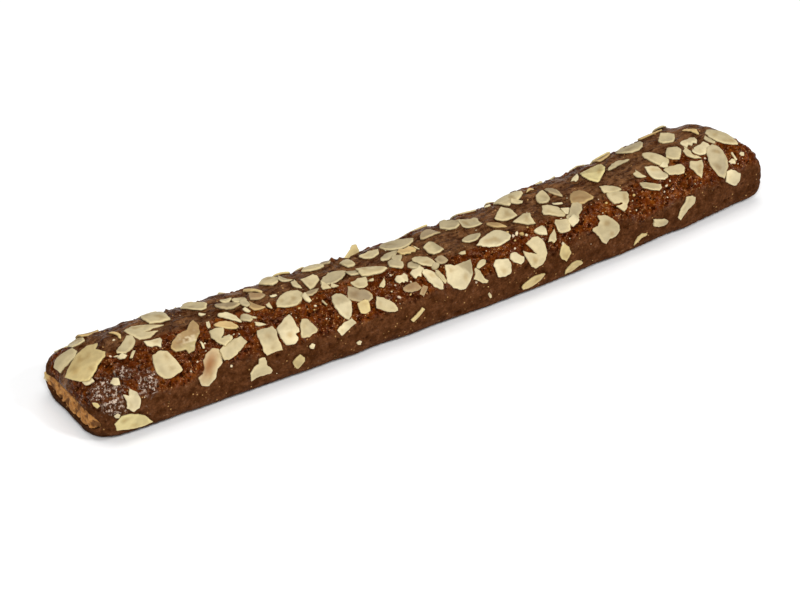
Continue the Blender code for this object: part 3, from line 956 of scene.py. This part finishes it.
def flat_sheet(rim):
    """A flat mesh inside the rim: its points in mm, their distance from the rim, and its triangles."""
    side = np.roll(rim, -1, axis=0) - np.roll(rim, 1, axis=0)
    inward = np.column_stack((-side[:, 1], side[:, 0])) / np.hypot(*side.T)[:, None]
    inner = rim + inward * RIM_ROUND
    low, high = rim.min(axis=0), rim.max(axis=0)
    rows = np.arange(low[1], high[1], SHEET_STEP * 0.87)
    grid = [
        (p + (row % 2) * SHEET_STEP / 2, q)
        for row, q in enumerate(rows)
        for p in np.arange(low[0], high[0], SHEET_STEP)
    ]
    grid = np.array(grid)
    inner = inner[rim_distance(rim, inner) > 0.8 * RIM_ROUND]
    grid = grid[rim_distance(rim, grid) > RIM_ROUND + 0.4 * SHEET_STEP]
    loose = [Vector(point) for part in (rim, inner, grid) for point in part.tolist()]
    points, _, faces, _, _, _ = delaunay_2d_cdt(loose, [], [list(range(len(rim)))], 1, 1e-5)
    points = np.array([tuple(point) for point in points])
    faces = [tuple(face) for face in faces]
    first, second, third = (points[index] for index in faces[0])
    (a, b), (c, d) = second - first, third - first
    if a * d < b * c:  # they face down
        faces = [face[::-1] for face in faces]
    return points, np.maximum(rim_distance(rim, points), 0), faces


def closed_shell(faces, count):
    """Both faces of a flake and the band round its rim, for twice this count of points."""
    sides = {}
    for a, b, c in faces:
        for start, end in ((a, b), (b, c), (c, a)):
            if sides.pop((end, start), None) is None:
                sides[(start, end)] = True
    polygons = [face[::-1] for face in faces]
    polygons += [tuple(index + count for index in face) for face in faces]
    polygons += [(start, end, end + count, start + count) for start, end in sides]
    return polygons


crust_skin = points_of(dough.data)
crust_faces = [list(face.vertices) for face in dough.data.polygons]
crust_tree = BVHTree.FromPolygons(crust_skin.tolist(), crust_faces)
laid = []  # of each flake laid so far: its tree, its middle and its reach


def seat_of(along, around):
    """The place on the crust at mm along the bar and degrees round it, with its three directions."""
    x = along * MM
    axis = Vector((x, float(middle(x)), AXIS_LEVEL))
    turn = math.radians(around)
    outward = Vector((0, math.cos(turn), math.sin(turn)))
    hit, _, _, _ = crust_tree.ray_cast(axis + outward * OUTSIDE, -outward)
    if hit is None:
        return None
    total = Vector()
    for _, facing, _, _ in crust_tree.find_nearest_range(hit, FACING_REACH):
        total += facing
    facing = total.normalized()
    ahead = (Vector((1, 0, 0)) - facing * facing.x).normalized()
    down = ahead.cross(facing).normalized()
    return hit, ahead, down, facing


def levels_below(feelers, axes, length):
    """What lies below a flake: its level in mm at each feeler, and whether it is another flake."""
    centre, lengthways, across, facing = axes
    levels, stacked = [], []
    for p, q in feelers:
        start = centre + (lengthways * p + across * q + facing * FEEL_FROM) * MM
        hit, _, _, far = crust_tree.ray_cast(start, -facing)
        level = FEEL_FROM - far / MM if hit else -FEEL_FROM
        on_flake = False
        for tree, heart, reach in laid:
            if (heart - centre).length < reach + length * NEIGHBOUR * MM:
                hit, _, _, far = tree.ray_cast(start, -facing)
                if hit and FEEL_FROM - far / MM > level:
                    level, on_flake = FEEL_FROM - far / MM, True
        levels.append(level)
        stacked.append(on_flake)
    return np.array(levels), np.array(stacked)


def fitted_bend(feelers, levels):
    """Level, two slopes and three curvatures of a flake that settled on these levels."""
    p, q = feelers.T
    terms = np.column_stack((np.ones(len(p)), p, q, p * p, p * q, q * q))
    ridge = np.diag([0, 0, 0, STIFFNESS, STIFFNESS, STIFFNESS]) * len(p)
    bend = np.linalg.solve(terms.T @ terms + ridge, terms.T @ levels)
    flat = np.linalg.lstsq(terms[:, :3], levels, rcond=None)[0]
    bend[:3] = flat * (1 - DRAPE) + bend[:3] * DRAPE
    return bend


def rise_of(bend, points):
    """Height in mm of a settled flake, at these points of its plane."""
    p, q = points.T
    plane = bend[0] + bend[1] * p + bend[2] * q
    return plane + DRAPE * (bend[3] * p * p + bend[4] * p * q + bend[5] * q * q)


def crease_of(row, dice):
    """A flake's crease: its direction and place, the bend there, and the painted shade above it."""
    _, along, around, length, width, turn, *_ = row
    direction, place = math.radians(dice.uniform(0, 180)), dice.uniform(-0.2, 0.2) * width
    fold, darker = 0, 0
    if length > SMALL:
        fold, darker = math.tan(dice.gauss(0, math.radians(7))), abs(dice.gauss(0, 0.08))
    if (along, around) in CREASES:
        direction, place, fold, darker = CREASES[along, around]
        direction, fold = math.radians(direction - turn), math.tan(math.radians(fold))
    return direction, place, fold, darker


def tints_of(row, points, edge, shadow, dice):
    """Colour of each point of a flake's face: shadow is the painted shade on one side of its crease."""
    kind, along, _, length, width, turn, shade, *_ = row
    turn = math.radians(turn)
    face_colour, rim_colour = (np.array(colour) for colour in SHADES[shade])
    face_colour = face_colour * dice.uniform(0.93, 1.07)
    # The rim colour is a toasted edge and, strongest on the flake's lower, near side, a painted highlight
    # where the edge catches the light.
    low_side = step(-0.4, 0.7, points @ (math.sin(turn), math.cos(turn)) * 2 / width)
    near_rim = (1 - step(0.05, 0.7, edge)) * (0.25 + 0.65 * low_side)
    streak = flecks(points, 4.5, 0.9, along + 3)
    patch = flecks(points, 3.2, 3.2, along + 7)
    thin = step(0.0, 0.55, patch) * step(0.3, 2.0, edge)  # the crust shows through where a flake is thin
    bearing = dice.uniform(0, 2 * math.pi)
    lean = (points @ (math.cos(bearing), math.sin(bearing))) / length * dice.uniform(0.1, 0.4)
    colour = face_colour * (1 + 0.06 * streak + lean)[:, None]
    colour = colour * (1 - thin[:, None] * (0.26, 0.35, 0.48))
    colour = colour * (1 - shadow)[:, None] ** (0.9, 1.0, 1.15)
    layers = [(near_rim, rim_colour)]
    if kind == "torn":  # half glassy, with milky streaks
        away = (points - (1.2, 1.1)) / (3.8, 4.2)
        veins = step(0.20, 0.06, np.abs(flecks(points, 2.6, 1.7, along + 11)))
        layers.append((0.6 * step(0.5, 4.0, points @ (0.3, 1.0)), GLASSY))
        layers.append((veins * np.exp(-(away**2).sum(axis=1)), MILKY))
    if shade == "toasted":
        away = (points / (length, width) - (0.06, -0.14)) * (2.4, 2.8)
        layers.append((np.exp(-(away**2).sum(axis=1)), TOASTED_CORE))
    for share, layer in layers:
        colour = colour * (1 - share[:, None]) + np.array(layer) * share[:, None]
    return colour


def lay_flake(row, dice):
    """Lay one flake on what lies below it: its points, faces, colours, and the bed that it pressed."""
    kind, along, around, length, width, turn, _, *stands = row
    seat = seat_of(along, around)
    if seat is None:
        return None
    centre, ahead, down, facing = seat
    turn = math.radians(turn)
    lengthways = ahead * math.cos(turn) + down * math.sin(turn)
    across = down * math.cos(turn) - ahead * math.sin(turn)
    rim = rim_of(kind, length, width, dice)
    points, edge, faces = flat_sheet(rim)
    feelers = np.vstack((rim[::4], points[edge > RIM_ROUND][::3]))
    levels, on_flake = levels_below(feelers, (centre, lengthways, across, facing), length)
    good = levels > FALLS_OFF
    if good.sum() < FEWEST_FELT:
        return None
    feelers, levels, on_flake = feelers[good], levels[good], on_flake[good]
    bend = fitted_bend(feelers, levels)

    thickness = dice.uniform(*THICKNESS) * (1.0 if length > SMALL else THINNER)
    curl = dice.gauss(0.12, 0.42) * min(1.0, length / 9)
    cup = dice.gauss(0, 0.22)
    slope = dice.gauss(0, 0.06)
    direction, place, fold, darker = crease_of(row, dice)

    def below_crease(where):
        """Distance in mm of these points below the crease."""
        return where @ (-math.sin(direction), math.cos(direction)) - place

    def level_at(where):
        """Height in mm of the middle of the flake's thickness."""
        p, q = where.T
        wave = curl * (2 * p / length) ** 2 + cup * (2 * q / width) ** 2 + slope * q
        folded = BEND_KEPT * fold * np.maximum(below_crease(where), 0)
        return rise_of(bend, where) + wave - folded

    clear = levels - (level_at(feelers) - thickness / 2)
    lift = np.percentile(clear, CLEAR_SHARE) - dice.uniform(*SUNK)
    if on_flake.any():
        lift = max(lift, clear[on_flake].max() - PRESSED)
    round_off = np.sqrt(1 - (1 - np.clip(edge / RIM_ROUND, 0, 1)) ** 2)
    half = thickness / 2 * (0.5 + 0.5 * round_off) * (1 - TAPER * points[:, 0] / length)
    ripple = 0.035 * flecks(points, 2.6, 0.8, along)
    level = level_at(points) + lift
    heights = np.concatenate((level + half + ripple, level - half))

    centre, lengthways, across, facing = (np.array(part) for part in (centre, lengthways, across, facing))
    places = np.column_stack((np.vstack((points, points)), heights)) * MM
    body = centre + places @ np.array((lengthways, across, facing))
    if stands:  # tipped up, and raised on to its edge
        turned = np.array(Matrix.Rotation(math.radians(stands[0]), 3, Vector(lengthways)))
        body = (body - centre) @ turned.T + centre + facing * width * 0.3 * MM
    body[:, 2] -= max(0, body[:, 2].max() - CEILING)
    polygons = closed_shell(faces, len(points))
    colour = tints_of(row, points, edge, darker * step(0.25, -0.25, below_crease(points)), dice)
    colour = np.vstack((colour, colour * 0.8))  # the underside is darker
    if stands:
        return body, polygons, colour, None
    laid.append((BVHTree.FromPolygons(body.tolist(), polygons), seat[0], length * NEIGHBOUR * MM))
    bed = (centre, lengthways, across, facing, rim, level_at, lift - thickness / 2)
    return body, polygons, colour, bed


def press_into_dough(skin, bed, dice):
    """Fit the crust to the underside of a flake, and round its rim."""
    centre, lengthways, across, facing, rim, level_at, lift = bed
    away = (skin - centre) / MM
    where = np.column_stack((away @ lengthways, away @ across))
    high = away @ facing
    low, top = rim.min(axis=0) - GIVES_ROUND, rim.max(axis=0) + GIVES_ROUND
    close = ((where > low) & (where < top)).all(axis=1) & (np.abs(high) < GIVES_BELOW)
    picked = np.flatnonzero(close)
    if not len(picked):
        return
    distance = rim_distance(rim, where[picked])
    under = level_at(where[picked]) + lift
    target = under + np.where(distance > 0, PRESSED, dice.uniform(*BESIDE))
    change = np.clip(target - high[picked], *GIVES_WAY)
    change *= step(-1.5, -0.1, distance)
    skin[picked] += np.outer(change * MM, facing)


dice = random.Random(12)
hidden_rows = []
for number in range(HIDDEN_FLAKES):
    hidden_rows.append(
        (
            dice.choice(("block", "slice", "half", "wedge", "kite", "dome", "ragged")),
            HIDDEN_START + number * HIDDEN_STEP + dice.uniform(-3, 3),
            dice.uniform(8, 34),
            dice.uniform(6.5, 12.5),
            dice.uniform(4.0, 7.5),
            dice.uniform(0, 180),
            dice.choice(("ivory", "pale", "cream", "ivory", "tan")),
        )
    )
batches = {"almond_slices": [], "almond_pieces": [], "almond_chips": []}
for row in (*FLAKES, *hidden_rows, STANDING_FLAKE):
    flake = lay_flake(row, dice)
    if flake is None:
        continue
    *bit, bed = flake
    if row[3] < SMALL:
        batches["almond_chips"].append(bit)
    elif row[0] in ("slice", "dome", "half", "waist", "leaf"):
        batches["almond_slices"].append(bit)
    else:
        batches["almond_pieces"].append(bit)
    if bed is not None:
        press_into_dough(crust_skin, bed, dice)
crust_skin[:, 2] = np.maximum(crust_skin[:, 2], 0)
move_points(dough.data, crust_skin)

almond_look, graph, surface = material("flaked_almond")
tint = node(graph, "ShaderNodeAttribute", attribute_name="tint").outputs["Color"]
fibres = spread(graph, grain(graph, 2.2 * MM, 5.0, 0.55), 0.35, 0.68, 0.90, 1.05)
fibres = node(graph, "ShaderNodeCombineColor", {0: fibres, 1: fibres, 2: fibres}).outputs[0]
graph.links.new(blend(graph, 1.0, tint, fibres, "MULTIPLY"), surface.inputs["Base Color"])
surface.inputs["Roughness"].default_value = 0.55
surface.inputs["Specular IOR Level"].default_value = 0.3
emboss(graph, surface, grain(graph, 0.7 * MM, 4.0, 0.6), 0.10 * MM, 0.25)


def strewn_piece(name, bits):
    """One piece made of many bits of almond, each given as its points, its faces and its colours."""
    points, faces, colours = [], [], []
    first = 0
    for body, polygons, colour in bits:
        points.append(body)
        faces += [tuple(index + first for index in face) for face in polygons]
        colours.append(colour)
        first += len(body)
    mesh = bpy.data.meshes.new(name)
    mesh.from_pydata(np.vstack(points).tolist(), [], faces)
    layer = mesh.attributes.new("tint", "FLOAT_COLOR", "POINT")
    colours = np.clip(np.vstack(colours), 0, 1)
    colours = np.column_stack((colours, np.ones(len(colours)))).astype(np.float32)
    layer.data.foreach_set("color", colours.ravel())
    mesh.shade_smooth()
    mesh.materials.append(almond_look)
    return piece_from(name, mesh)


for name, bits in batches.items():
    piece = strewn_piece(name, bits)
    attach(piece, "root")

# ==== Almond crumbs ====
# Bits that broke off the almonds as they were sliced, up to two millimetres across. They stuck to the
# egg wash among the flakes.

# The larger ones: mm along, degrees round, and length, width and height in mm.
LARGER_CRUMBS = (
    (34.2, 124, 1.1, 1.9, 1.2),
    (36.0, 122.5, 1.4, 2.6, 1.5),
    (37.6, 125.5, 1.5, 1.9, 1.4),
    (39.3, 129.5, 1.7, 1.5, 1.1),
    (-20.7, 146, 1.9, 1.0, 0.9),
    (-133.2, 101, 1.5, 1.4, 1.0),
    (89.5, 132, 1.4, 1.2, 1.0),
    (-106.0, 118, 1.2, 0.9, 0.8),
    (-99.0, 126, 1.1, 1.0, 0.8),
    (77.0, 128, 1.3, 1.1, 0.9),
    (106.5, 133, 1.2, 1.2, 0.9),
    (-52.5, 124, 1.0, 1.5, 0.8),
    (51.8, 152.5, 1.2, 1.8, 1.0),
)
CRUMB_TINTS = ((0.60, 0.46, 0.31), (0.66, 0.54, 0.34), (0.55, 0.37, 0.13))
SMALL_CRUMBS = 150
dice = random.Random(77)
crumb_rows = list(LARGER_CRUMBS)
for _ in range(SMALL_CRUMBS):
    size = 0.35 + 0.75 * dice.random() ** 2
    around = dice.choice((dice.uniform(100, 165), dice.uniform(120, 155), dice.uniform(60, 190)))
    at = dice.uniform(-142, 142)
    crumb_rows.append((at, around, size * dice.uniform(0.8, 1.6), size, size * dice.uniform(0.6, 0.9)))
ball = bmesh.new()
bmesh.ops.create_icosphere(ball, subdivisions=1, radius=0.5)
ball_points = np.array([tuple(vertex.co) for vertex in ball.verts])
ball_faces = [tuple(vertex.index for vertex in face.verts) for face in ball.faces]
ball.free()
bits = []
for at, around, *sizes in crumb_rows:
    seat = seat_of(at, around)
    if seat is None:
        continue
    centre, ahead, down, facing = (np.array(part) for part in seat)
    turn = dice.uniform(-0.7, 0.7)
    here = Vector((at, around, 0))
    uneven = np.array([1 + 0.7 * noise.noise(Vector(p) * 2.2 + here) for p in ball_points])
    bit = ball_points * uneven[:, None] * sizes
    bit[:, :2] = bit[:, :2] @ ((math.cos(turn), math.sin(turn)), (-math.sin(turn), math.cos(turn)))
    bit[:, 2] += 0.1 * sizes[2]
    body = centre + (bit * MM) @ np.array((ahead, down, facing))
    tone = np.array(dice.choice(CRUMB_TINTS)) * dice.uniform(0.8, 1.1)
    bits.append((body, ball_faces, np.tile(tone, (len(body), 1))))
crumbs = strewn_piece("almond_crumbs", bits)
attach(crumbs, "root")

# ==== Floor, light and camera ====
# A white sweep under one large soft light from above. Two small ones at the front, to the left and the
# right of the camera, put the highlights on the glaze.

FLOOR_REACH = 6.0  # m each way
floor_mesh = bpy.data.meshes.new("floor")
corners = [(FLOOR_REACH * x, FLOOR_REACH * y, 0) for x, y in ((-1, -1), (1, -1), (1, 1), (-1, 1))]
floor_mesh.from_pydata(corners, [], [(0, 1, 2, 3)])
floor = piece_from("floor", floor_mesh)
floor.location.z = -0.05 * MM
floor_look, graph, surface = material("white_sweep")
surface.inputs["Base Color"].default_value = (0.93, 0.93, 0.93, 1)
surface.inputs["Roughness"].default_value = 0.9
surface.inputs["Specular IOR Level"].default_value = 0.0
floor.data.materials.append(floor_look)

world = bpy.data.worlds.new("studio")
bpy.context.scene.world = world
world.use_nodes = True
world.node_tree.nodes["Background"].inputs["Color"].default_value = (1, 1, 1, 1)
world.node_tree.nodes["Background"].inputs["Strength"].default_value = 0.39


def softbox(name, place, aim, width, height, power):
    """A soft rectangular light at place, turned to aim."""
    light = bpy.data.lights.new(name, "AREA")
    light.shape = "RECTANGLE"
    light.size = width
    light.size_y = height
    light.energy = power
    lamp = bpy.data.objects.new(name, light)
    lamp.location = place
    lamp.rotation_euler = (Vector(aim) - Vector(place)).to_track_quat("-Z", "Y").to_euler()
    bpy.context.scene.collection.objects.link(lamp)


softbox("overhead", (-0.03, 0.22, 1.3), (0, 0, 0), 1.3, 1.0, 8)
softbox("front", (-0.52, -0.84, 0.98), (0, 0, 0), 0.34, 0.24, 8.5)
softbox("glint", (0.48, -0.82, 0.90), (0, 0, 0), 0.22, 0.15, 6)

VIEW_AZIMUTH = math.radians(-31.66)
VIEW_ELEVATION = math.radians(37.02)
VIEW_DISTANCE = 1.5
VIEW_FOCAL = 175.914  # mm
VIEW_SENSOR = 36  # mm
VIEW_SLIDE = (-6.83, -1.52)  # mm to the right and up
back = Vector(
    (
        math.sin(VIEW_AZIMUTH) * math.cos(VIEW_ELEVATION),
        -math.cos(VIEW_AZIMUTH) * math.cos(VIEW_ELEVATION),
        math.sin(VIEW_ELEVATION),
    )
)
right = Vector((math.cos(VIEW_AZIMUTH), math.sin(VIEW_AZIMUTH), 0))
up = back.cross(right)
lens = bpy.data.cameras.new("camera")
lens.lens = VIEW_FOCAL
lens.sensor_width = VIEW_SENSOR
camera = bpy.data.objects.new("camera", lens)
bpy.context.scene.collection.objects.link(camera)
camera.location = back * VIEW_DISTANCE + (right * VIEW_SLIDE[0] + up * VIEW_SLIDE[1]) * MM
camera.rotation_euler = back.to_track_quat("Z", "Y").to_euler()
bpy.context.scene.camera = camera
bpy.context.scene.view_settings.view_transform = "Standard"
